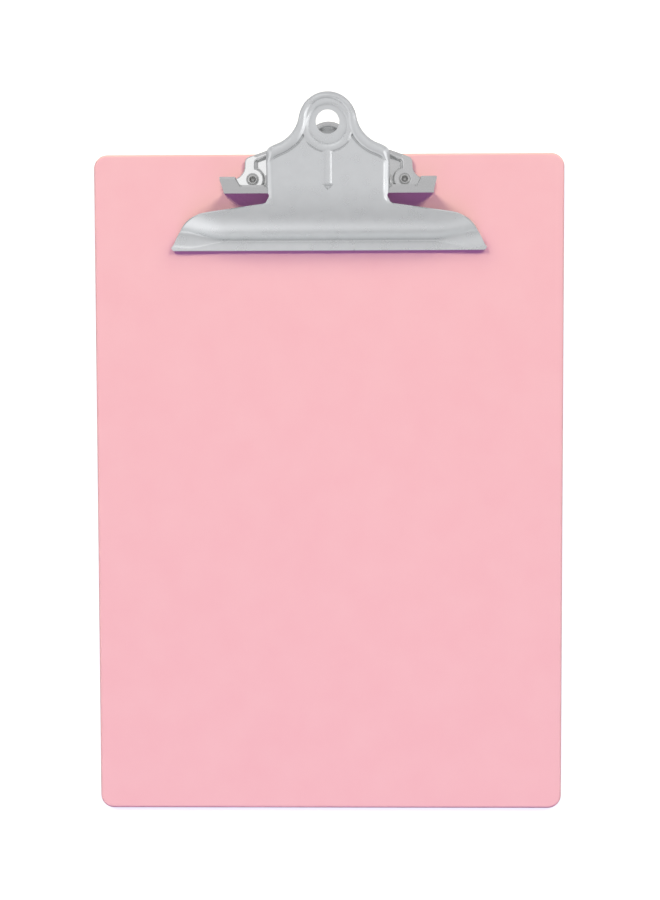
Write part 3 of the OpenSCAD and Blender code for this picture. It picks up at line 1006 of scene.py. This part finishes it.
# its brighter and darker stretches: direction, the cosines where each begins and is full, and what it adds
GLOWS = (((0.93, -0.35, 0.12), 0.80, 0.97, 0.50),
         ((-0.93, -0.35, 0.12), 0.80, 0.97, 0.26),
         ((-0.50, -0.82, -0.28), 0.84, 0.99, 0.36),
         ((0, 0.45, 0.90), 0.90, 0.99, -0.09))
KEY_TINT = (0.92, 1.0, 0.68)
FILL_TINT = (0.60, 0.32, 1.0)       # the board's shadows are violet
GLOSS_SHARE = 0.2                   # of a key lamp's power, in its twin that only the metal sees
CAMERA_PLACE = (0.0083, 0.0447, 0.6 + FACE * MM)
CAMERA_TURN = (-2.63, 0.76, -0.17)  # in degrees
CAMERA_LENS = 49.02                 # in millimetres, on a sensor 36 wide


def mapped(tree, value, low, high, to_high, smooth_ends=False):
    node = tree.nodes.new("ShaderNodeMapRange")
    node.interpolation_type = "SMOOTHSTEP" if smooth_ends else "LINEAR"
    node.inputs["From Min"].default_value = low
    node.inputs["From Max"].default_value = high
    node.inputs["To Max"].default_value = to_high
    tree.links.new(value, node.inputs["Value"])
    return node.outputs["Result"]


def make_world():
    """A grey studio, as the metal sees it. The board and the floor are lit by the lamps alone."""
    world = bpy.data.worlds.new("studio")
    bpy.context.scene.world = world
    world.use_nodes = True
    world.cycles_visibility.diffuse = False
    tree = world.node_tree
    background = next(n for n in tree.nodes if n.type == "BACKGROUND")
    place = tree.nodes.new("ShaderNodeTexCoord").outputs["Generated"]
    split = tree.nodes.new("ShaderNodeSeparateXYZ")
    tree.links.new(place, split.inputs["Vector"])
    ramp = tree.nodes.new("ShaderNodeValToRGB")
    ramp.color_ramp.interpolation = "EASE"
    stops = ramp.color_ramp.elements
    stops[0].position, stops[1].position = 0, 1
    for position, _ in SKY[1:-1]:
        stops.new(position)
    for stop, (_, value) in zip(stops, SKY):
        stop.color = (value, value, value, 1)
    tree.links.new(mapped(tree, split.outputs["Z"], -1, 1, 1), ramp.inputs["Fac"])
    total = ramp.outputs["Color"]
    for direction, wide, narrow, strength in GLOWS:
        dot = tree.nodes.new("ShaderNodeVectorMath")
        dot.operation = "DOT_PRODUCT"
        dot.inputs[1].default_value = Vector(direction).normalized()
        tree.links.new(place, dot.inputs[0])
        add = tree.nodes.new("ShaderNodeMath")
        add.operation = "ADD"
        tree.links.new(total, add.inputs[0])
        tree.links.new(mapped(tree, dot.outputs["Value"], wide, narrow, strength, True), add.inputs[1])
        total = add.outputs["Value"]
    background.inputs["Color"].default_value = (0.985, 0.98, 1.0, 1)
    tree.links.new(total, background.inputs["Strength"])


def make_camera():
    data = bpy.data.cameras.new("camera")
    data.lens = CAMERA_LENS
    data.sensor_width = 36
    data.clip_start = 0.01
    camera = bpy.data.objects.new("camera", data)
    camera.location = CAMERA_PLACE
    camera.rotation_euler = [math.radians(a) for a in CAMERA_TURN]
    bpy.context.collection.objects.link(camera)
    bpy.context.scene.camera = camera


def make_lights():
    """Keys from both sides and a violet fill light the board. The others are seen by the metal alone."""
    clip = (0, TOP * MM, 0)
    for name, side, power in (("key_left", -1, 430), ("key_right", 1, 375)):
        place = (side * 4.0, 4.6, 4.4)
        area_light(name, place, clip, 2.4, 2.4, power, KEY_TINT).visible_glossy = False
        area_light(name + "_gloss", place, clip, 2.4, 2.4, GLOSS_SHARE * power).visible_diffuse = False
    area_light("fill", (0, -0.8, 2.2), (0, 0, 0), 2.5, 2.5, 33.5, FILL_TINT).visible_glossy = False
    under = (-0.165, 0.40)
    area_light("overhead_left", (*under, 1.2), (*under, 0), 0.26, 0.30, 0.145).visible_diffuse = False
    area_light("front_right", (0.85, -0.45, 1.0), clip, 0.45, 0.45, 0.6).visible_diffuse = False


make_floor()
make_world()
make_lights()
make_camera()
bpy.context.scene.view_settings.view_transform = "Standard"
